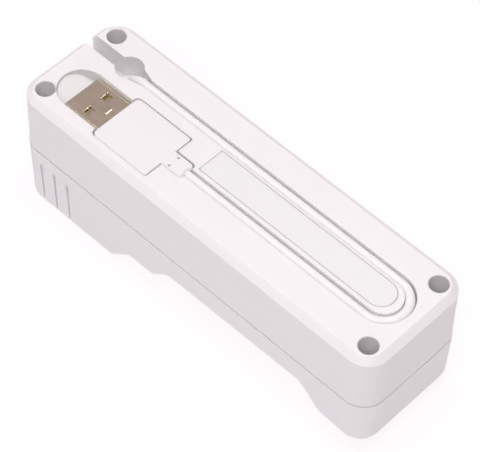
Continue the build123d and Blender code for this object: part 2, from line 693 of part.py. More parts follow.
def lock_opening(z0, z1):
    """Opening that lets the hook's foot in, with a narrow slot for its leg to slide along."""
    edge = HALF_WIDTH
    half = LOCK_FOOT_LENGTH / 2 + LOCK_SIDE_GAP
    inner = LOCK_LEG_Y - LOCK_FOOT_REACH - BODY_GAP
    wide = span(LOCK_X - half, LOCK_X + half, inner, edge, z0, z1)
    half = LOCK_LEG_LENGTH / 2 + LOCK_SIDE_GAP
    slot = span(LOCK_X - half, LOCK_X + half + LOCK_TRAVEL, LOCK_LEG_Y - BODY_GAP, edge, z0, z1)
    return wide + slot


def ears(places, thickness, low, front):
    """Round hinge ears round the pin axis, on stems that stand on a plate."""
    shapes = []
    for y in places:
        y0 = y - thickness / 2
        y1 = y + thickness / 2
        eye = rod_y(HINGE_X, HINGE_Z, y0, y1, EAR_RADIUS)
        stem = span(HINGE_X - EAR_RADIUS, HINGE_X + front, y0, y1, low, HINGE_Z)
        shapes.append(eye + stem)
    return shapes


def base_ear_places():
    """Middles of the two base ears, just outside the two arm ears."""
    y = ARM_EAR_Y + EAR_THICKNESS + EAR_SIDE_GAP
    return (-y, y)


def board_posts():
    """Middles of the four board posts."""
    inset = BOARD_POST_INSET
    xs = (BOARD_START_X + inset, BOARD_START_X + BOARD_LENGTH - inset)
    y = BOARD_WIDTH / 2 - inset
    return [(x, side * y) for x in xs for side in (-1, 1)]


def block_tabs():
    """Middles of the two fixing tabs of the heater block."""
    return [(JAW_X + BLOCK_TAB_X, side * BLOCK_TAB_Y) for side in (-1, 1)]


def clamp_holes():
    """The two screw axes of the cable clamp."""
    return [(CLAMP_X, CLAMP_Y + side * CLAMP_SPACING) for side in (-1, 1)]


def jaw_deck():
    """Plate that closes the base at the seam, with the posts, rib and ears moulded on it."""
    plate = prism(INNER_LENGTH - 2 * FIT, INNER_WIDTH - 2 * FIT, INNER_CORNER, SEAM_Z, DECK_TOP)
    half_x = BLOCK_WIDTH / 2 + FIT
    half_y = BLOCK_LENGTH / 2 + STRIP_SHEET + FIT
    plate = plate - span(JAW_X - half_x, JAW_X + half_x, -half_y, half_y, SEAM_Z - 1, DECK_TOP + 1)
    plate = plate - lock_opening(SEAM_Z - 1, DECK_TOP + 1)
    side = ARM_EAR_Y + EAR_THICKNESS / 2 + BODY_GAP
    notch = HINGE_X - EAR_RADIUS - 2 * BODY_GAP
    plate = plate - span(notch, HALF_LENGTH, -side, side, SEAM_Z - 1, DECK_TOP + 1)
    for x, y in hole_places():
        plate = plate + rod(x, y, SEAM_Z, POST_TOP, POST_RADIUS)
    for x, y in board_posts():
        plate = plate + rod(x, y, DECK_TOP - ROOT, BOARD_BOTTOM, BOARD_POST_RADIUS)
    half = CLAMP_LENGTH / 2
    wide = CLAMP_SPACING + CLAMP_END
    rib_top = CABLE_INNER_Z - CABLE_RADIUS
    rib = span(CLAMP_X - half, CLAMP_X + half, CLAMP_Y - wide, CLAMP_Y + wide, DECK_TOP - ROOT, rib_top)
    plate = plate + rib
    for ear in ears(base_ear_places(), EAR_THICKNESS - BASE_EAR_TRIM, SEAM_Z, EAR_RADIUS):
        plate = plate + ear
    plate = plate - rod_y(HINGE_X, HINGE_Z, -HALF_WIDTH, HALF_WIDTH, PIN_RADIUS)
    for x, y in hole_places():
        plate = plate - rod(x, y, DECK_TOP, POST_TOP + 1, SCREW_RADIUS)
    for x, y in inner_screw_axes():
        plate = plate - rod(x, y, SEAM_Z + 0.2, BODY_HEIGHT, INNER_SCREW_RADIUS)
    plate = plate - rod(SWITCH_X, 0, SEAM_Z - 1, DECK_TOP + 1, PLUNGER_RADIUS + FIT)
    return plate - rod(SPRING_X, 0, SEAM_Z - 1, SPRING_TOP, SPRING_RADIUS + SPRING_WIRE + SPRING_ROOM)


def inner_screw_axes():
    """Axes of all the small inner screws."""
    return board_posts()[::3] + clamp_holes() + block_tabs()


def inner_screws():
    """Six identical small screws: board, cable clamp and heater block."""
    seats = [(x, y, BOARD_TOP) for x, y in board_posts()[::3]]
    seats = seats + [(x, y, CABLE_INNER_Z - CABLE_RADIUS + CLAMP_EAR) for x, y in clamp_holes()]
    seats = seats + [(x, y, DECK_TOP + BLOCK_TAB_HEIGHT) for x, y in block_tabs()]
    args = (INNER_SCREW_RADIUS, INNER_SCREW_LENGTH, INNER_SCREW_HEAD, INNER_SCREW_HEAD_HEIGHT)
    return group(screw(x, y, seat, *args) for x, y, seat in seats)


def heater_block():
    """Ceramic block behind the heating strip, flanged to rest on the deck."""
    half_x = BLOCK_WIDTH / 2
    half_y = BLOCK_LENGTH / 2
    block = span(JAW_X - half_x, JAW_X + half_x, -half_y, half_y, BLOCK_BOTTOM, BLOCK_BOTTOM + BLOCK_HEIGHT)
    wide = half_x + BLOCK_FLANGE
    top = DECK_TOP + BLOCK_TAB_HEIGHT
    block = block + span(JAW_X - wide, JAW_X + wide, -half_y, half_y, DECK_TOP, top)
    for x, y in block_tabs():
        tab = span(JAW_X, x + BLOCK_TAB_END, y - BLOCK_TAB_END, y + BLOCK_TAB_END, DECK_TOP, top)
        block = block + (tab & span(-100, 100, -half_y, half_y, 0, 100))
        block = block - rod(x, y, 0, 100, INNER_SCREW_RADIUS + FIT)
    return block


def heating_strip():
    """Resistance ribbon across the jaw with its ends folded up the block."""
    half_x = STRIP_WIDTH / 2
    half_y = BLOCK_LENGTH / 2 + STRIP_SHEET
    low = BLOCK_BOTTOM - STRIP_SHEET
    strip = span(JAW_X - half_x, JAW_X + half_x, -half_y, half_y, low, DECK_TOP + TERMINAL_SIZE)
    inner = half_y - STRIP_SHEET
    return strip - span(JAW_X - 9, JAW_X + 9, -inner, inner, BLOCK_BOTTOM, BODY_HEIGHT)


def nonstick_film():
    """Coated glass-cloth film over the strip, fixed to the deck either side."""
    half_x = BLOCK_WIDTH / 2 + FILM_OVER_SIDE
    half_y = BLOCK_LENGTH / 2 + FILM_OVER_END
    low = SEAM_Z - FILM_SHEET
    return span(JAW_X - half_x, JAW_X + half_x, -half_y, half_y, low, SEAM_Z)


def strip_terminals():
    """Brass terminal at each end of the strip."""
    inner = BLOCK_LENGTH / 2 + STRIP_SHEET
    half = STRIP_WIDTH / 2
    blocks = []
    for side in (-1, 1):
        y0 = min(side * inner, side * (inner + TERMINAL_SIZE))
        top = DECK_TOP + TERMINAL_SIZE
        blocks.append(span(JAW_X - half, JAW_X + half, y0, y0 + TERMINAL_SIZE, DECK_TOP, top))
    return group(blocks)


def thermal_cutoff():
    """Small fuse in its case lying on the heater block, with a lead at each end."""
    low = BLOCK_BOTTOM + BLOCK_HEIGHT
    level = low + FUSE_RADIUS
    body = rod_y(JAW_X, level, -FUSE_LENGTH, 0, FUSE_RADIUS)
    return body + rod_y(JAW_X, level, -FUSE_LENGTH - FUSE_LEAD, FUSE_LEAD, FUSE_LEAD_RADIUS)


def circuit_board():
    """Glass-fibre board on four posts."""
    end = BOARD_START_X + BOARD_LENGTH
    half = BOARD_WIDTH / 2
    board = span(BOARD_START_X, end, -half, half, BOARD_BOTTOM, BOARD_TOP)
    board = fillet(board.edges().filter_by(Axis.Z), BOARD_CORNER)
    for x, y in board_posts()[::3]:
        board = board - rod(x, y, 0, 100, INNER_SCREW_RADIUS + FIT)
    return board


def on_board(place, size, lift=0):
    """Block standing on the board, centred at a place measured from the board's start."""
    x, y = BOARD_START_X + place[0], place[1]
    low = BOARD_TOP + lift
    return span(x - size[0] / 2, x + size[0] / 2, y - size[1] / 2, y + size[1] / 2, low, low + size[2])


def control_chip():
    """Eight-legged controller."""
    chip = on_board(CHIP_AT, CHIP_SIZE, CHIP_LIFT)
    x, y = BOARD_START_X + CHIP_AT[0], CHIP_AT[1]
    half = CHIP_LEG_WIDTH / 2
    root = CHIP_SIZE[1] / 2 - CHIP_LEG_HEIGHT / 5
    for step in range(CHIP_LEGS):
        leg = x - CHIP_FIRST_LEG + CHIP_LEG_PITCH * step
        for side in (-1, 1):
            near, out = sorted((y + side * root, y + side * CHIP_LEG_REACH))
            chip = chip + span(leg - half, leg + half, near, out, BOARD_TOP, BOARD_TOP + CHIP_LEG_HEIGHT)
    return chip


def power_transistor():
    """Heater switch in a flat case with a cooling tab."""
    x, y = TRANSISTOR_AT
    tab = (x, y + TRANSISTOR_SIZE[1] / 2 + TAB_SIZE[1] / 2)
    return on_board(TRANSISTOR_AT, TRANSISTOR_SIZE) + on_board(tab, TAB_SIZE)


def charge_inductor():
    """Shielded coil of the charger."""
    coil = on_board(INDUCTOR_AT, INDUCTOR_SIZE)
    return chamfer(coil.edges().filter_by(Axis.Z), INDUCTOR_BEVEL)


def filter_capacitors():
    """Two upright capacitors."""
    cans = []
    for place in CAPACITOR_PLACES:
        x = BOARD_START_X + place
        can = rod(x, CAPACITOR_Y, BOARD_TOP, BOARD_TOP + CAPACITOR_HEIGHT, CAPACITOR_RADIUS)
        cans.append(fillet(can.edges().group_by(Axis.Z)[-1], CAPACITOR_ROUND))
    return group(cans)


def charge_led():
    """Side-facing lamp at the board's far edge."""
    edge = BOARD_WIDTH / 2 - LED_EDGE_INSET
    half = LED_LENGTH / 2
    return span(LIGHT_X - half, LIGHT_X + half, edge - LED_DEPTH, edge, BOARD_TOP, BOARD_TOP + LED_HEIGHT)


def light_pipe():
    """Clear rod from the lamp to the far wall."""
    pipe = rod_y(LIGHT_X, LIGHT_Z, BOARD_WIDTH / 2 - 0.5, HALF_WIDTH, LIGHT_RADIUS)
    wall = HALF_WIDTH - WALL
    wide = LIGHT_RADIUS + LIGHT_COLLAR
    collar = rod_y(LIGHT_X, LIGHT_Z, wall - LIGHT_COLLAR_LENGTH, wall, wide)
    return pipe + collar


def battery_cell():
    """Flat lithium pouch cell."""
    end = BATTERY_START_X + BATTERY_LENGTH
    half = BATTERY_WIDTH / 2
    low = DECK_TOP + TAPE_THICKNESS
    cell = span(BATTERY_START_X, end, -half, half, low, low + BATTERY_HEIGHT)
    return fillet(cell.edges().filter_by(Axis.X), BATTERY_ROUND)


def battery_tape():
    """Foam tape under the cell."""
    inset = TAPE_INSET
    end = BATTERY_START_X + BATTERY_LENGTH - inset
    half = BATTERY_WIDTH / 2 - inset
    return span(BATTERY_START_X + inset, end, -half, half, DECK_TOP, DECK_TOP + TAPE_THICKNESS)


def lead(points, bend):
    """Insulated wire along straight runs with rounded corners."""
    return tube(FilletPolyline(*points, radius=bend), LEAD_RADIUS)


def heater_leads():
    """Wires from the strip terminals to the board."""
    start = JAW_X + STRIP_WIDTH / 2
    y = BLOCK_LENGTH / 2 + STRIP_SHEET + LEAD_RADIUS
    level = DECK_TOP + TERMINAL_SIZE / 2
    pad = BOARD_BOTTOM + BOARD_THICKNESS / 2
    end = BOARD_START_X
    wires = []
    for side in (-1, 1):
        points = [(start, side * y, level), (end - 4, side * y, level)]
        points = points + [(end - 1.6, side * 9.6, pad), (end, side * 9.6, pad)]
        wires.append(lead(points, TERMINAL_LEAD_BEND))
    return group(wires)


def cable_cores():
    """Two cable cores from the jacket's end to the board."""
    pad = BOARD_BOTTOM + BOARD_THICKNESS / 2
    wires = []
    for side in (-1, 1):
        y = FAR_RUN_Y + side * (LEAD_RADIUS + 0.1)
        points = [(CABLE_END_X, y, CABLE_INNER_Z), (CABLE_END_X + 1.0, y, CABLE_INNER_Z)]
        points = points + [(BOARD_START_X - 1.0, y, pad), (BOARD_START_X, y, pad)]
        wires.append(lead(points, LEAD_BEND))
    return group(wires)


def battery_leads():
    """Wires from the cell's end to the board."""
    end = BOARD_START_X + BOARD_LENGTH
    pad = BOARD_BOTTOM + BOARD_THICKNESS / 2
    high = pad + 2.0
    middle = (end + BATTERY_START_X) / 2
    wires = []
    for y in (-4.0, 4.0):
        points = [(BATTERY_START_X, y, high), (middle, y, high), (middle, y, pad), (end, y, pad)]
        wires.append(lead(points, LEAD_BEND))
    return group(wires)


def switch_leads():
    """Wires from the power switch, past the cell, to the board."""
    end = BOARD_START_X + BOARD_LENGTH
    pad = BOARD_BOTTOM + BOARD_THICKNESS / 2
    start = SWITCH_X - SWITCH_LENGTH / 2
    corner = BATTERY_START_X + BATTERY_LENGTH + (start - BATTERY_START_X - BATTERY_LENGTH) / 2
    side = BATTERY_WIDTH / 2 + 1.2
    wires = []
    for step in (0, 1):
        level = pad + 1.4 * step
        y = 1.5 - 3.0 * step
        x = corner + 0.6 * (0.5 - step)
        points = [(start, y, level), (x, y, level), (x, side, level)]
        points = points + [(end + 2.0, side, level), (end + 2.0, 8.0 - 1.4 * step, level)]
        if step:
            points = points + [(end + 2.0, 6.6, pad), (end, 6.6, pad)]
        else:
            points = points + [(end, 8.0, pad)]
        wires.append(lead(points, LEAD_BEND))
    return group(wires)


def switch_body():
    """Power switch case with the plunger's bore."""
    half = SWITCH_LENGTH / 2
    wide = SWITCH_WIDTH / 2
    case = span(SWITCH_X - half, SWITCH_X + half, -wide, wide, DECK_TOP, DECK_TOP + SWITCH_HEIGHT)
    case = fillet(case.edges().filter_by(Axis.Z), SWITCH_CORNER)
    case = case - rod(SWITCH_X, 0, DECK_TOP - 1, DECK_TOP + 1, PLUNGER_RADIUS + FIT)
    roof = DECK_TOP + SWITCH_HEIGHT - SWITCH_ROOF
    return case - rod(SWITCH_X, 0, DECK_TOP + SWITCH_FLOOR, roof, COLLAR_RADIUS + FIT)


def switch_plunger():
    """Sprung plunger that the arm plate pushes in when the arm is shut."""
    tip = ARM_DEPTH + PLUNGER_GAP
    collar = DECK_TOP + SWITCH_FLOOR + PLUNGER_TRAVEL + FIT
    stem = rod(SWITCH_X, 0, tip, collar + PLUNGER_TAIL, PLUNGER_RADIUS)
    stem = fillet(stem.edges().group_by(Axis.Z)[0], PLUNGER_ROUND)
    return stem + rod(SWITCH_X, 0, collar, collar + COLLAR_HEIGHT, COLLAR_RADIUS)


def cable_clamp():
    """Saddle over the cable with a screw ear on each side."""
    half = CLAMP_LENGTH / 2
    low = CABLE_INNER_Z - CABLE_RADIUS
    wide = CLAMP_SPACING + CLAMP_END
    ears_bar = span(CLAMP_X - half, CLAMP_X + half, CLAMP_Y - wide, CLAMP_Y + wide, low, low + CLAMP_EAR)
    hump_half = CABLE_RADIUS + CLAMP_WALL
    top = CABLE_INNER_Z + hump_half
    hump = span(CLAMP_X - half, CLAMP_X + half, CLAMP_Y - hump_half, CLAMP_Y + hump_half, low, top)
    clamp = ears_bar + hump
    hole = span(CLAMP_X - 9, CLAMP_X + 9, CLAMP_Y - CABLE_RADIUS, CLAMP_Y + CABLE_RADIUS, 0, CABLE_INNER_Z)
    hole = hole + Pos(CLAMP_X, CLAMP_Y, CABLE_INNER_Z) * Rot(0, 90, 0) * Cylinder(CABLE_RADIUS, 18)
    clamp = clamp - hole
    for x, y in clamp_holes():
        clamp = clamp - rod(x, y, 0, 100, INNER_SCREW_RADIUS + FIT)
    return clamp


def lock_slider():
    """Ridged thumb knob on the far wall, with its stem and peg."""
    half = LOCK_KNOB_LENGTH / 2
    tall = LOCK_KNOB_HEIGHT / 2
    y0 = HALF_WIDTH - LOCK_RECESS_DEPTH + FIT
    y1 = HALF_WIDTH - LOCK_FLUSH - LOCK_RIDGE_HEIGHT
    knob = span(LOCK_X - half, LOCK_X + half, y0, y1, LOCK_KNOB_Z - tall, LOCK_KNOB_Z + tall)
    pitch = (LOCK_KNOB_LENGTH - 1.0) / LOCK_RIDGES
    for step in range(LOCK_RIDGES):
        x = LOCK_X + (step - (LOCK_RIDGES - 1) / 2) * pitch
        top = y1 + LOCK_RIDGE_HEIGHT
        thick = LOCK_RIDGE_WIDTH / 2
        long = tall - LOCK_RIDGE_INSET
        knob = knob + span(x - thick, x + thick, y1, top, LOCK_KNOB_Z - long, LOCK_KNOB_Z + long)
    half = LOCK_STEM_LENGTH / 2
    tall = LOCK_STEM_HEIGHT / 2
    plate = LOCK_LEG_Y + LOCK_PLATE_THICKNESS
    knob = knob + span(LOCK_X - half, LOCK_X + half, plate, y0, LOCK_KNOB_Z - tall, LOCK_KNOB_Z + tall)
    return knob + rod_y(LOCK_X, LOCK_KNOB_Z, LOCK_LEG_Y, plate, LOCK_PEG_RADIUS)


def lock_hook():
    """Plate inside the wall with a leg and foot that reach under the arm plate's edge."""
    half = LOCK_KNOB_LENGTH / 2
    tall = LOCK_KNOB_HEIGHT / 2
    y1 = LOCK_LEG_Y + LOCK_PLATE_THICKNESS
    plate = span(LOCK_X - half, LOCK_X + half, LOCK_LEG_Y, y1, LOCK_KNOB_Z - tall, LOCK_KNOB_Z + tall)
    foot_top = ARM_PLATE_BOTTOM - LOCK_DROP
    foot_low = foot_top - LOCK_FOOT_THICKNESS
    half = LOCK_LEG_LENGTH / 2
    leg = span(LOCK_X - half, LOCK_X + half, LOCK_LEG_Y, y1, foot_low, LOCK_KNOB_Z)
    half = LOCK_FOOT_LENGTH / 2
    inner = LOCK_LEG_Y - LOCK_FOOT_REACH
    foot = span(LOCK_X - half, LOCK_X + half, inner, y1, foot_low, foot_top)
    return plate + leg + foot - rod_y(LOCK_X, LOCK_KNOB_Z, 0, HALF_WIDTH, LOCK_PEG_RADIUS)


def hinge_pin():
    """Pin across the two pairs of ears."""
    end = base_ear_places()[1] + EAR_THICKNESS / 2 - PIN_END_INSET
    pin = rod_y(HINGE_X, HINGE_Z, -end, end, PIN_RADIUS)
    return chamfer(pin.edges().filter_by(GeomType.CIRCLE), PIN_BEVEL)


def return_spring():
    """Open coil between the deck and the arm plate's cup."""
    rise = SPRING_TOP - SPRING_BOTTOM - 2 * SPRING_WIRE
    coil = Helix(rise / SPRING_TURNS, rise, SPRING_RADIUS)
    wire = tube(coil, SPRING_WIRE)
    return Pos(SPRING_X, 0, SPRING_BOTTOM + SPRING_WIRE) * wire


def arm_side(inset):
    """Side view of the press arm, inset all round, closed above its top edge."""
    left = -HALF_LENGTH - ARM_PROUD
    right = HALF_LENGTH + ARM_PROUD
    high = ARM_DEPTH + 8
    foot_end = FOOT_LENGTH - HALF_LENGTH
    shelf_start = foot_end + FOOT_SLOPE
    shelf_end = shelf_start + SHELF_LENGTH
    heel_start = HALF_LENGTH - HEEL_LENGTH
    points = [
        (left, high),
        (left, 0),
        (foot_end, 0),
        (shelf_start, SHELF_Z),
        (shelf_end, SHELF_Z + SHELF_RISE),
        (shelf_end + SHELF_SLOPE, RECESS_START_Z),
        (heel_start - HEEL_SLOPE, RECESS_END_Z),
        (heel_start, HEEL_START_Z),
        (right, HEEL_END_Z),
        (right, high),
    ]
    corners = [END_ROUND, 1.0, 1.0, 2.1, 4.0, 4.0, 2.0, END_ROUND]
    line = FilletPolyline(*[(x, 0, z) for x, z in points], radius=corners)
    lid = Line(line @ 1, line @ 0)
    face = make_face([line, lid])
    if inset:
        face = offset(face, amount=-inset, kind=Kind.INTERSECTION)
    return extrude(face, amount=HALF_WIDTH + 1, both=True)


def arm_plan(inset):
    """Tapered block of the arm's plan, hanging from its top edge."""
    grow = ARM_PROUD - inset
    outline = RectangleRounded(BODY_LENGTH + 2 * grow, BODY_WIDTH + 2 * grow, CORNER_RADIUS + grow)
    face = Plane.XY.offset(ARM_DEPTH) * outline
    return extrude(face, amount=ARM_DEPTH + 1, dir=(0, 0, -1), taper=ARM_DRAFT)


def arm_body(inset):
    """Outside of the press arm, or the same form inset by a wall."""
    return arm_plan(inset) & arm_side(inset)


def long_edges(body):
    """Edges between the arm's sides and its underside, ends included."""
    picked = []
    for edge in body.edges():
        middle = edge @ 0.5
        rise = abs((edge @ 1).Z - (edge @ 0).Z)
        low = middle.Z < ARM_DEPTH - 0.5 and rise < ARM_DEPTH / 2
        if low and abs(middle.Y) > HALF_WIDTH - CORNER_RADIUS:
            picked.append(edge)
    return ShapeList(picked)


def grip_grooves():
    """Grooves that wrap round the thumb end."""
    core = arm_body(GROOVE_DEPTH)
    slabs = []
    half = GROOVE_WIDTH / 2
    for step in range(GROOVE_COUNT):
        x = GROOVE_X + step * GROOVE_PITCH
        slabs.append(span(x - half, x + half, -HALF_WIDTH, HALF_WIDTH, -1, GROOVE_TOP) - core)
    return slabs


def arm_shell():
    """Lower casing: the press arm with its grip grooves and screw posts."""
    body = arm_body(0)
    outer = fillet(long_edges(body), LONG_EDGE_ROUND)
    outer = chamfer(outer.edges().group_by(Axis.Z)[-1], ARM_RIM_BEVEL)
    cavity = arm_body(WALL)
    shell = outer - cavity
    for x, y in hole_places():
        post = rod(x, y, 0, ARM_PLATE_BOTTOM, ARM_POST_RADIUS) & outer
        shell = shell + post - rod(x, y, ARM_DEPTH - ARM_SCREW_LENGTH - 1, ARM_DEPTH, SCREW_RADIUS)
    for groove in grip_grooves():
        shell = shell - groove
    return shell


def arm_plate():
    """Plate that closes the arm at the seam, with the pad window, spring cup and hinge ears."""
    length = INNER_LENGTH - 2 * ARM_PLATE_FIT
    width = INNER_WIDTH - 2 * ARM_PLATE_FIT
    plate = prism(length, width, INNER_CORNER, ARM_PLATE_BOTTOM, ARM_DEPTH)
    half_x = PAD_WIDTH / 2 + CARRIER_WALL + FIT
    half_y = PAD_LENGTH / 2 + CARRIER_WALL + FIT
    plate = plate - span(JAW_X - half_x, JAW_X + half_x, -half_y, half_y, 0, BODY_HEIGHT)
    plate = plate - lock_opening(ARM_PLATE_BOTTOM - 1, ARM_DEPTH + 1)
    cup = SPRING_RADIUS + SPRING_WIRE + SPRING_ROOM
    plate = plate + rod(SPRING_X, 0, SPRING_BOTTOM - CUP_WALL, ARM_DEPTH, cup + CUP_WALL)
    plate = plate - rod(SPRING_X, 0, SPRING_BOTTOM, ARM_DEPTH + 1, cup)
    for ear in ears((-ARM_EAR_Y, ARM_EAR_Y), EAR_THICKNESS, ARM_PLATE_BOTTOM, EAR_RADIUS - ARM_EAR_CUT):
        plate = plate + ear
    plate = plate - rod_y(HINGE_X, HINGE_Z, -HALF_WIDTH, HALF_WIDTH, PIN_RADIUS + PIN_FIT)
    for x, y in hole_places():
        plate = plate - arm_screw(x, y)
    return plate


def arm_screw(x, y):
    """Countersunk screw, flush with the arm plate."""
    shank = rod(x, y, ARM_DEPTH - ARM_SCREW_LENGTH, ARM_DEPTH, SCREW_RADIUS)
    wide = SCREW_HEAD_RADIUS
    head = Pos(x, y, ARM_DEPTH - ARM_SCREW_SINK / 2) * Cone(SCREW_RADIUS, wide, ARM_SCREW_SINK)
    return shank + head


def arm_plate_screws():
    """Four countersunk screws that hold the arm plate to the arm shell."""
    screws = []
    for x, y in hole_places():
        arm = SCREW_HEAD_RADIUS * 0.5
        cross = span(x - arm, x + arm, y - 0.2, y + 0.2, ARM_DEPTH - 0.6, ARM_DEPTH + 1)
        cross = cross + span(x - 0.2, x + 0.2, y - arm, y + arm, ARM_DEPTH - 0.6, ARM_DEPTH + 1)
        screws.append(arm_screw(x, y) - cross)
    return group(screws)


def pad_top():
    """Height of the pad's working face when the arm is shut."""
    return SEAM_Z - FILM_SHEET - PAD_GAP


def pad_carrier():
    """Tray that holds the pad, flanged under the arm plate."""
    low = pad_top() - PAD_HEIGHT - CARRIER_FLOOR
    half_x = PAD_WIDTH / 2 + CARRIER_WALL
    half_y = PAD_LENGTH / 2 + CARRIER_WALL
    tray = span(JAW_X - half_x, JAW_X + half_x, -half_y, half_y, low, ARM_DEPTH - CARRIER_SINK)
    wide = half_x + CARRIER_OVER_SIDE
    long = half_y + CARRIER_OVER_END
    under = ARM_PLATE_BOTTOM - CARRIER_FLANGE
    tray = tray + span(JAW_X - wide, JAW_X + wide, -long, long, under, ARM_PLATE_BOTTOM)
    return tray - pad_block(BODY_HEIGHT)


def pad_block(top):
    """Space that the pad fills, up to a given height."""
    half_x = PAD_WIDTH / 2
    half_y = PAD_LENGTH / 2
    return span(JAW_X - half_x, JAW_X + half_x, -half_y, half_y, pad_top() - PAD_HEIGHT, top)


def pressure_pad():
    """Silicone pad with a rounded back that presses the bag on the strip."""
    pad = pad_block(pad_top())
    return fillet(pad.edges().filter_by(Axis.Y).group_by(Axis.Z)[-1], PAD_ROUND)


PIECES = [
    base_shell,
    casing_screws,
    label_plate,
    usb_plug_body,
    usb_plug_shell,
    usb_plug_tongue,
    usb_cable,
    cable_grommet,
    jaw_deck,
    inner_screws,
    heater_block,
    heating_strip,
    nonstick_film,
    strip_terminals,
    thermal_cutoff,
    heater_leads,
    circuit_board,
    control_chip,
    power_transistor,
    charge_inductor,
    filter_capacitors,
    charge_led,
    light_pipe,
    battery_cell,
    battery_tape,
    battery_leads,
    switch_body,
    switch_plunger,
    switch_leads,
    cable_clamp,
    cable_cores,
    lock_slider,
    lock_hook,
    hinge_pin,
    return_spring,
    arm_shell,
    arm_plate,
    arm_plate_screws,
    pad_carrier,
    pressure_pad,
]

for piece in PIECES:
    save(piece.__name__, piece())
save("usb_plug_contacts", contact_blocks())
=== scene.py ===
import json
import math

import bmesh
import bpy
from mathutils import Matrix, Vector


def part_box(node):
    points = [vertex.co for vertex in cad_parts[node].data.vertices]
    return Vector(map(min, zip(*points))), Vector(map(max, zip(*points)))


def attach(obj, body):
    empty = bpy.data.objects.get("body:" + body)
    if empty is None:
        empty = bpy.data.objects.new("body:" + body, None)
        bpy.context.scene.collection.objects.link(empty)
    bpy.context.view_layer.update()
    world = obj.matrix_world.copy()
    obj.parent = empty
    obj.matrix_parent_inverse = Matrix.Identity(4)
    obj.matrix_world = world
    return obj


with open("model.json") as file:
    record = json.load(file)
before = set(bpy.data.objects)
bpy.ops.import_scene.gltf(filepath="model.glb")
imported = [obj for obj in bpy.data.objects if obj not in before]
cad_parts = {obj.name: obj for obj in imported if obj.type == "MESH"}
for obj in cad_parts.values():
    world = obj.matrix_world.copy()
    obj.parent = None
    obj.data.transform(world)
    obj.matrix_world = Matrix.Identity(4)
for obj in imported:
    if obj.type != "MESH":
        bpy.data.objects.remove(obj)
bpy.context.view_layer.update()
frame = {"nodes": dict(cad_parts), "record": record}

NODES = frame["nodes"]
RECORD = frame["record"]
SCENE = bpy.context.scene
MM = 0.001

# ---------------------------------------------------------------- camera

AZIMUTH = 42.60
ELEVATION = 53.18
ROLL = 1.98
DISTANCE = 0.5592
LENS = 177.49
TARGET = Vector((0.0095, -0.0086, 0.0390))
SENSOR_WIDTH = 36.0
CLIP_NEAR = 0.01
CLIP_FAR = 20.0


def add_camera():
    """Long-lens view of the cable face, the near side and the hinge end."""
    azimuth = math.radians(AZIMUTH)
    elevation = math.radians(ELEVATION)
    roll = math.radians(ROLL)
    flat = math.cos(elevation)
    back = Vector((math.sin(azimuth) * flat, -math.cos(azimuth) * flat, math.sin(elevation)))
    right = (-back).cross(Vector((0, 0, 1))).normalized()
    up = right.cross(-back)
    side = math.cos(roll) * right + math.sin(roll) * up
    top = -math.sin(roll) * right + math.cos(roll) * up
    data = bpy.data.cameras.new("camera")
    data.lens = LENS
    data.sensor_width = SENSOR_WIDTH
    data.clip_start = CLIP_NEAR
    data.clip_end = CLIP_FAR
    camera = bpy.data.objects.new("camera", data)
    SCENE.collection.objects.link(camera)
    turn = Matrix((side, top, back)).transposed().to_4x4()
    camera.matrix_world = Matrix.Translation(TARGET + back * DISTANCE) @ turn
    SCENE.camera = camera


# ---------------------------------------------------------------- light and floor

SKY_BRIGHT = (0.35, 0.305, 0.35)
SKY_DIM = (0.28, 0.20, 0.19)
SKY_AXIS = Vector((-0.60, -0.75, 0.28)).normalized()
SKY_SPREAD = 0.9
LIGHT_AIM = Vector((0, 0, 0.03))
KEY_PLACE = Vector((-0.04, 0.05, 0.85))
KEY_SIZE = 0.50
KEY_POWER = 4.0
FRONT_PLACE = Vector((0.26, -0.42, 0.80))
FRONT_SIZE = 0.40
FRONT_POWER = 3.2
FLOOR_HALF = 3.0
FLOOR_ROUGHNESS = 0.9
FLOOR_TONE = 0.20
FLOOR_GLOW = 0.80
FLOOR_TINT = (1.0, 0.965, 0.985)


def add_area(name, place, size, power):
    """Soft square light that faces the object."""
    data = bpy.data.lights.new(name, "AREA")
    data.shape = "SQUARE"
    data.size = size
    data.energy = power
    light = bpy.data.objects.new(name, data)
    SCENE.collection.objects.link(light)
    light.location = place
    light.rotation_euler = (LIGHT_AIM - place).to_track_quat("-Z", "Y").to_euler()


def add_lights():
    """Soft studio: a broad light overhead, one in front, and a dim pale room that is brighter on one side."""
    world = bpy.data.worlds.new("room")
    world.use_nodes = True
    tree = world.node_tree
    sky = tree.nodes["Background"]
    around = tree.nodes.new("ShaderNodeTexCoord")
    facing = tree.nodes.new("ShaderNodeVectorMath")
    facing.operation = "DOT_PRODUCT"
    facing.inputs[1].default_value = SKY_AXIS
    share = tree.nodes.new("ShaderNodeMapRange")
    share.inputs["From Min"].default_value = -SKY_SPREAD
    share.inputs["From Max"].default_value = SKY_SPREAD
    blend = tree.nodes.new("ShaderNodeMix")
    blend.data_type = "RGBA"
    blend.inputs[6].default_value = (*SKY_DIM, 1)
    blend.inputs[7].default_value = (*SKY_BRIGHT, 1)
    tree.links.new(around.outputs["Generated"], facing.inputs[0])
    tree.links.new(facing.outputs["Value"], share.inputs["Value"])
    tree.links.new(share.outputs["Result"], blend.inputs[0])
    tree.links.new(blend.outputs[2], sky.inputs["Color"])
    SCENE.world = world
    add_area("key", KEY_PLACE, KEY_SIZE, KEY_POWER)
    add_area("front", FRONT_PLACE, FRONT_SIZE, FRONT_POWER)
    SCENE.view_settings.view_transform = "Standard"


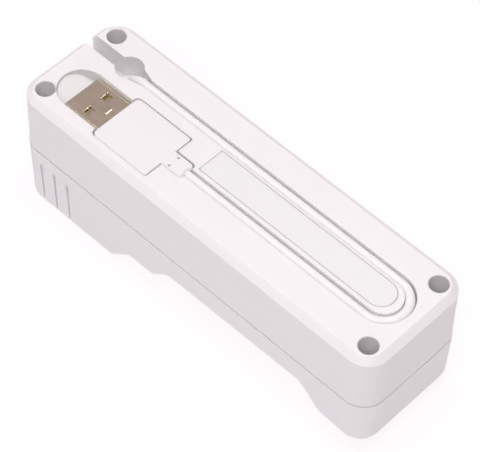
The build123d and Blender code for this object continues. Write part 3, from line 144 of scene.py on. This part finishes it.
def add_floor():
    """Plain pale floor, lit enough to read as a white sweep."""
    mesh = bpy.data.meshes.new("floor")
    half = FLOOR_HALF
    corners = [(-half, -half, 0), (half, -half, 0), (half, half, 0), (-half, half, 0)]
    mesh.from_pydata(corners, [], [(0, 1, 2, 3)])
    floor = bpy.data.objects.new("floor", mesh)
    SCENE.collection.objects.link(floor)
    material = bpy.data.materials.new("floor_white")
    material.use_nodes = True
    shader = material.node_tree.nodes["Principled BSDF"]
    shader.inputs["Base Color"].default_value = (FLOOR_TONE, FLOOR_TONE, FLOOR_TONE, 1)
    shader.inputs["Roughness"].default_value = FLOOR_ROUGHNESS
    shader.inputs["Emission Color"].default_value = (*FLOOR_TINT, 1)
    shader.inputs["Emission Strength"].default_value = FLOOR_GLOW
    mesh.materials.append(material)


# ---------------------------------------------------------------- materials


WAVE_SCALE = 0.31416  # the wave texture's scale that gives one band per unit of length


class Paint:
    """Small builder for one procedural material."""

    def __init__(self, name):
        self.material = bpy.data.materials.new(name)
        self.material.use_nodes = True
        self.tree = self.material.node_tree
        self.shader = self.tree.nodes["Principled BSDF"]
        self.place = self.tree.nodes.new("ShaderNodeTexCoord").outputs["Object"]

    def set(self, **values):
        """Uniform values, straight on the shader's own sockets."""
        for key, value in values.items():
            self.shader.inputs[key.replace("_", " ")].default_value = value
        return self

    def node(self, kind, **values):
        """A new node with the given settings."""
        made = self.tree.nodes.new(kind)
        for key, value in values.items():
            setattr(made, key, value)
        return made

    def scaled(self, stretch):
        """Object position stretched along each axis."""
        mapping = self.node("ShaderNodeMapping")
        mapping.inputs["Scale"].default_value = stretch
        self.tree.links.new(self.place, mapping.inputs["Vector"])
        return mapping.outputs["Vector"]

    def noise(self, size_mm, detail=3.0, rough=0.55, stretch=None):
        """Noise whose features are about a given size."""
        made = self.node("ShaderNodeTexNoise")
        made.inputs["Scale"].default_value = 1.0 / (size_mm * MM)
        made.inputs["Detail"].default_value = detail
        made.inputs["Roughness"].default_value = rough
        source = self.scaled(stretch) if stretch else self.place
        self.tree.links.new(source, made.inputs["Vector"])
        return made.outputs["Fac"]

    def cells(self, size_mm):
        """Distance to scattered points about a given size apart."""
        made = self.node("ShaderNodeTexVoronoi", feature="F1")
        made.inputs["Scale"].default_value = 1.0 / (size_mm * MM)
        self.tree.links.new(self.place, made.inputs["Vector"])
        return made.outputs["Distance"]

    def waves(self, pitch_mm, axis, distort):
        """Even bands across one axis, one per pitch."""
        made = self.node("ShaderNodeTexWave", bands_direction=axis, wave_profile="SIN")
        made.inputs["Scale"].default_value = WAVE_SCALE / (pitch_mm * MM)
        made.inputs["Distortion"].default_value = distort
        self.tree.links.new(self.place, made.inputs["Vector"])
        return made.outputs["Fac"]

    def remap(self, value, low, high, start=0.3, end=0.7):
        """A varying value carried from one range to another."""
        made = self.node("ShaderNodeMapRange")
        made.inputs["From Min"].default_value = start
        made.inputs["From Max"].default_value = end
        made.inputs["To Min"].default_value = low
        made.inputs["To Max"].default_value = high
        self.tree.links.new(value, made.inputs["Value"])
        return made.outputs["Result"]

    def sum(self, first, second, operation="ADD"):
        """Two varying values put together."""
        made = self.node("ShaderNodeMath", operation=operation)
        self.tree.links.new(first, made.inputs[0])
        self.tree.links.new(second, made.inputs[1])
        return made.outputs["Value"]

    def mix(self, factor, dark, light):
        """Colour that varies between two tints."""
        made = self.node("ShaderNodeMix", data_type="RGBA")
        made.inputs[6].default_value = (*dark, 1)
        made.inputs[7].default_value = (*light, 1)
        self.tree.links.new(factor, made.inputs[0])
        return made.outputs[2]

    def colour(self, output):
        """Drive the base colour."""
        self.tree.links.new(output, self.shader.inputs["Base Color"])
        return self

    def roughness(self, output):
        """Drive the roughness."""
        self.tree.links.new(output, self.shader.inputs["Roughness"])
        return self

    def bump(self, height, depth_mm):
        """Fine relief; several are chained."""
        made = self.node("ShaderNodeBump")
        made.inputs["Strength"].default_value = 1.0
        made.inputs["Distance"].default_value = depth_mm * MM
        self.tree.links.new(height, made.inputs["Height"])
        before = self.shader.inputs["Normal"].links
        if before:
            self.tree.links.new(before[0].from_socket, made.inputs["Normal"])
        self.tree.links.new(made.outputs["Normal"], self.shader.inputs["Normal"])
        return self


def tint(colour, factor):
    """A colour made lighter or darker."""
    return tuple(min(1.0, part * factor) for part in colour)


def moulded(name, colour, rough, grain_mm, depth_mm, variation=0.02, **extra):
    """Moulded plastic: spark-eroded grain, faint flow marks and a slightly uneven gloss."""
    paint = Paint(name).set(Specular_IOR_Level=0.4, **extra)
    flow = paint.noise(14.0, 2.0, 0.5, (0.35, 1.0, 1.0))
    fine = paint.noise(grain_mm, 4.0, 0.65)
    both = paint.sum(paint.remap(flow, 0.0, 0.7), paint.remap(fine, 0.0, 0.3))
    paint.colour(paint.mix(both, tint(colour, 1 - variation), tint(colour, 1 + variation * 0.4)))
    gloss = paint.sum(paint.remap(flow, rough - 0.05, rough + 0.05), paint.remap(fine, -0.04, 0.04))
    paint.roughness(gloss)
    return paint.bump(fine, depth_mm)


def brushed(name, colour, rough, axis, depth_mm=0.004, variation=0.12, scuff=0.06):
    """Drawn or rolled metal: fine lines along one axis, scuffs and dull patches."""
    paint = Paint(name).set(Metallic=1.0)
    stretch = {"X": (0.04, 1, 1), "Y": (1, 0.04, 1), "Z": (1, 1, 0.04)}[axis]
    lines = paint.noise(0.18, 5.0, 0.7, stretch)
    patches = paint.noise(3.0, 3.0, 0.6)
    both = paint.sum(paint.remap(lines, 0.0, 0.5), paint.remap(patches, 0.0, 0.5))
    paint.colour(paint.mix(both, tint(colour, 1 - variation), tint(colour, 1 + variation * 0.6)))
    paint.roughness(paint.sum(paint.remap(lines, rough - 0.05, rough + 0.05), paint.remap(patches, 0, scuff)))
    return paint.bump(lines, depth_mm)


MILKY = {
    "Subsurface_Weight": 0.6,
    "Subsurface_Radius": (1.0, 0.85, 0.85),
    "Subsurface_Scale": 1.2 * MM,
}


def white_shell():
    return moulded("white_shell", (0.82, 0.81, 0.812), 0.42, 0.35, 0.006, 0.015, **MILKY)


def label_white():
    return moulded("label_white", (0.82, 0.81, 0.815), 0.36, 0.22, 0.003, 0.012, **MILKY)


def cable_white():
    return moulded("cable_white", (0.82, 0.81, 0.815), 0.48, 0.30, 0.006, 0.02, **MILKY)


def plug_white():
    return moulded("plug_white", (0.81, 0.80, 0.80), 0.46, 0.28, 0.007, 0.02, **MILKY)


def grommet_rubber():
    return moulded("grommet_rubber", (0.78, 0.77, 0.76), 0.62, 0.25, 0.010, 0.04)


def inner_plastic():
    return moulded("inner_plastic", (0.80, 0.785, 0.78), 0.55, 0.40, 0.010, 0.03)


def tongue_plastic():
    return moulded("tongue_plastic", (0.80, 0.79, 0.77), 0.40, 0.30, 0.004, 0.03)


def lock_grey():
    return moulded("lock_grey", (0.50, 0.505, 0.52), 0.45, 0.35, 0.008, 0.04)


def chip_black():
    return moulded("chip_black", (0.028, 0.028, 0.030), 0.50, 0.12, 0.006, 0.25)


def silicone():
    paint = moulded("silicone", (0.55, 0.085, 0.045), 0.58, 0.5, 0.008, 0.08)
    return paint.set(Sheen_Weight=0.15, Sheen_Roughness=0.5)


def foam_tape():
    """Closed-cell foam: open bubbles on a matt skin, with painted shade darkening each bubble pit."""
    paint = Paint("foam_tape").set(Specular_IOR_Level=0.2)
    bubbles = paint.cells(0.35)
    # painted shade: the colour darkens towards each bubble's centre, where the bump sinks the pit
    paint.colour(paint.mix(paint.remap(bubbles, 0, 1, 0.1, 0.6), (0.03, 0.03, 0.03), (0.09, 0.09, 0.09)))
    paint.roughness(paint.remap(bubbles, 0.8, 0.95))
    return paint.bump(bubbles, 0.08)


def ceramic():
    """Unglazed fired block: chalky, with fine pits."""
    paint = Paint("ceramic").set(Specular_IOR_Level=0.25)
    pits = paint.cells(0.30)
    cloud = paint.noise(2.5, 4.0, 0.6)
    paint.colour(paint.mix(cloud, (0.66, 0.62, 0.53), (0.79, 0.765, 0.69)))
    paint.roughness(paint.remap(pits, 0.75, 0.9))
    return paint.bump(pits, 0.03)


def ptfe_film():
    """Coated glass cloth: an over-and-under weave under a brown skin."""
    paint = Paint("ptfe_film").set(Specular_IOR_Level=0.45)
    weave = paint.sum(paint.waves(0.5, "X", 0.2), paint.waves(0.5, "Y", 0.2), "MULTIPLY")
    cloud = paint.noise(4.0, 3.0, 0.6)
    both = paint.sum(paint.remap(weave, 0.0, 0.6, 0, 1), paint.remap(cloud, 0.0, 0.4))
    paint.colour(paint.mix(both, (0.25, 0.13, 0.055), (0.44, 0.26, 0.12)))
    paint.roughness(paint.remap(weave, 0.48, 0.34, 0, 1))
    return paint.bump(weave, 0.02)


def board_green():
    """Solder mask over copper tracks: tracks run both ways and stand a little proud."""
    paint = Paint("board_green").set(Specular_IOR_Level=0.5, Coat_Weight=0.4, Coat_Roughness=0.2)
    tracks = paint.sum(paint.waves(1.27, "Y", 2.5), paint.waves(2.54, "X", 3.0), "MULTIPLY")
    step = paint.remap(tracks, 0, 1, 0.42, 0.5)
    cloud = paint.noise(0.8, 3.0, 0.6)
    paint.colour(paint.mix(step, (0.008, 0.085, 0.035), (0.03, 0.20, 0.075)))
    paint.roughness(paint.remap(cloud, 0.28, 0.42))
    return paint.bump(step, 0.03)


def lead_insulation():
    return moulded("lead_insulation", (0.52, 0.045, 0.035), 0.40, 0.25, 0.006, 0.12)


def clear_plastic():
    """Clear moulded rod with faint sink marks."""
    paint = Paint("clear_plastic").set(Transmission_Weight=0.85, IOR=1.49)
    ripple = paint.noise(1.2, 2.0, 0.5)
    paint.colour(paint.mix(ripple, (0.90, 0.92, 0.92), (0.97, 0.98, 0.98)))
    paint.roughness(paint.remap(ripple, 0.08, 0.16))
    return paint.bump(ripple, 0.01)


def capacitor_can():
    return brushed("capacitor_can", (0.68, 0.69, 0.71), 0.32, "Z")


def battery_foil():
    """Laminated foil pouch: satin, softly dented."""
    paint = Paint("battery_foil").set(Metallic=0.85)
    dents = paint.noise(6.0, 3.0, 0.55)
    fine = paint.noise(0.25, 3.0, 0.6)
    paint.colour(paint.mix(dents, (0.58, 0.59, 0.61), (0.74, 0.75, 0.77)))
    paint.roughness(paint.sum(paint.remap(dents, 0.30, 0.42), paint.remap(fine, -0.03, 0.03)))
    paint.bump(dents, 0.25)
    return paint.bump(fine, 0.004)


def plug_steel():
    return brushed("plug_steel", (0.96, 0.89, 0.68), 0.20, "X", 0.002, 0.05, 0.03)


def screw_steel():
    return brushed("screw_steel", (0.56, 0.55, 0.55), 0.30, "X", 0.004, 0.15)


def pin_steel():
    return brushed("pin_steel", (0.60, 0.60, 0.61), 0.25, "Y", 0.003, 0.12)


def nichrome():
    return brushed("nichrome", (0.42, 0.39, 0.36), 0.38, "Y", 0.004, 0.2)


def brass():
    return brushed("brass", (0.72, 0.53, 0.24), 0.30, "Y", 0.004, 0.14)


def contact_gold():
    return brushed("contact_gold", (0.86, 0.62, 0.26), 0.22, "X", 0.002, 0.08)


RECIPES = [
    white_shell, label_white, cable_white, grommet_rubber, inner_plastic, tongue_plastic, lock_grey,
    chip_black, silicone, foam_tape, ceramic, ptfe_film, board_green, lead_insulation, clear_plastic,
    capacitor_can, battery_foil, plug_steel, screw_steel, pin_steel, nichrome, brass, contact_gold,
]


def dress(thing, material):
    """One material over the whole of an object."""
    thing.data.materials.clear()
    thing.data.materials.append(material)


def dress_nodes(made):
    """Each CAD node takes the material of its slot."""
    for row in RECORD["subparts"]:
        dress(NODES[row["node"]], made[row["material_slot"]])


# ---------------------------------------------------------------- plug details

SHEET = 0.3 * MM
LEAF_DEPTH = 0.55 * MM
WINDOW_FROM_TIP = 4.9 * MM
WINDOW_LENGTH = 2.1 * MM
WINDOW_WIDTH = 2.3 * MM
WINDOW_SPACING = 6.0 * MM
TAB_FROM_GRIP = 2.5 * MM
TAB_LENGTH = 1.7 * MM
TAB_WIDTH = 2.3 * MM
TAB_RISE = 0.42 * MM
TAB_SINK = 0.02 * MM
TAB_SHEET = 0.22 * MM
TAB_SOFT = 0.05 * MM
TAB_STEPS = 16
TAB_COLUMNS = 8
TAB_FLATNESS = 0.6
LEAF_PAST_FRONT = 0.35 * MM
LEAF_PAST_BACK = 0.6 * MM
LEAF_PAST_SIDE = 0.12 * MM
LEAF_GAP = 0.03 * MM
LEAF_SHEET = 0.12 * MM
LEAF_SOFT = 0.03 * MM
LEAF_STEPS = 12
LEAF_COLUMNS = 6
SOFT_ANGLE = 35.0
SOFT_SEGMENTS = 2
CASE_SOFT = 0.08 * MM


def new_piece(name, builder, body, material):
    """A mesh piece that rides on a body and takes its finish from a slot."""
    mesh = bpy.data.meshes.new(name)
    bm = bmesh.new()
    builder(bm)
    bmesh.ops.recalc_face_normals(bm, faces=bm.faces)
    bm.to_mesh(mesh)
    bm.free()
    for face in mesh.polygons:
        face.use_smooth = True
    piece = bpy.data.objects.new(name, mesh)
    SCENE.collection.objects.link(piece)
    dress(piece, material)
    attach(piece, body)
    return piece


def sheet_strip(bm, profile, y0, y1, thickness, columns):
    """Closed strip of sheet: a side-view curve (x, z) carried from y0 to y1, with thickness below it."""
    count = len(profile)
    across = [y0 + (y1 - y0) * k / columns for k in range(columns + 1)]
    layers = []
    for drop in (0.0, thickness):
        layers.append([[bm.verts.new((x, y, z - drop)) for y in across] for x, z in profile])
    top, low = layers
    for i in range(count - 1):
        for k in range(columns):
            bm.faces.new((top[i][k], top[i + 1][k], top[i + 1][k + 1], top[i][k + 1]))
            bm.faces.new((low[i][k], low[i][k + 1], low[i + 1][k + 1], low[i + 1][k]))
        for k in (0, columns):
            bm.faces.new((top[i][k], low[i][k], low[i + 1][k], top[i + 1][k]))
    for i in (0, count - 1):
        for k in range(columns):
            bm.faces.new((top[i][k], top[i][k + 1], low[i][k + 1], low[i][k]))


def soften(piece, width):
    """Rounded edges with clean shading."""
    bevel = piece.modifiers.new("soft_edges", "BEVEL")
    bevel.width = width
    bevel.segments = SOFT_SEGMENTS
    bevel.limit_method = "ANGLE"
    bevel.angle_limit = math.radians(SOFT_ANGLE)
    bevel.use_clamp_overlap = True
    bevel.harden_normals = True


def latch_leaf(side, material):
    """Spring leaf that fills a latch window from inside: it starts at the rear edge and dips forward."""
    low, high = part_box("usb_plug_shell")
    middle = (low.y + high.y) / 2 + side * WINDOW_SPACING / 2
    front = low.x + WINDOW_FROM_TIP - LEAF_PAST_FRONT
    back = low.x + WINDOW_FROM_TIP + WINDOW_LENGTH + LEAF_PAST_BACK
    top = high.z - SHEET - LEAF_GAP
    profile = []
    for step in range(LEAF_STEPS + 1):
        share = step / LEAF_STEPS
        dip = LEAF_DEPTH * (1 - math.cos(math.pi * (1 - share))) / 2
        profile.append((front + (back - front) * share, top - dip))
    half = WINDOW_WIDTH / 2 + LEAF_PAST_SIDE
    name = "latch_leaf_far" if side > 0 else "latch_leaf_near"
    piece = new_piece(
        name,
        lambda bm: sheet_strip(bm, profile, middle - half, middle + half, LEAF_SHEET, LEAF_COLUMNS),
        "usb_plug", material,
    )
    soften(piece, LEAF_SOFT)


def lanced_tab(material):
    """Small bridge pressed up out of the shell's top sheet just before the grip."""
    low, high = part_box("usb_plug_shell")
    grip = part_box("usb_plug_body")[0].x
    middle = (low.y + high.y) / 2
    half = TAB_WIDTH / 2
    back = grip - TAB_FROM_GRIP + TAB_LENGTH / 2
    front = back - TAB_LENGTH
    profile = []
    for step in range(TAB_STEPS + 1):
        share = step / TAB_STEPS
        rise = TAB_RISE * math.sin(math.pi * share) ** TAB_FLATNESS
        profile.append((front + TAB_LENGTH * share, high.z - TAB_SINK + rise))
    piece = new_piece(
        "lanced_tab",
        lambda bm: sheet_strip(bm, profile, middle - half, middle + half, TAB_SHEET, TAB_COLUMNS),
        "usb_plug", material,
    )
    soften(piece, TAB_SOFT)


add_camera()
add_lights()
add_floor()
MATERIALS = {recipe.__name__: recipe().material for recipe in RECIPES}
dress_nodes(MATERIALS)
dress(NODES["usb_plug_body"], plug_white().material)
for side in (-1, 1):
    latch_leaf(side, MATERIALS["plug_steel"])
lanced_tab(MATERIALS["plug_steel"])
for name in ("base_shell", "arm_shell", "usb_plug_body", "usb_plug_shell", "label_plate"):
    soften(NODES[name], CASE_SOFT)
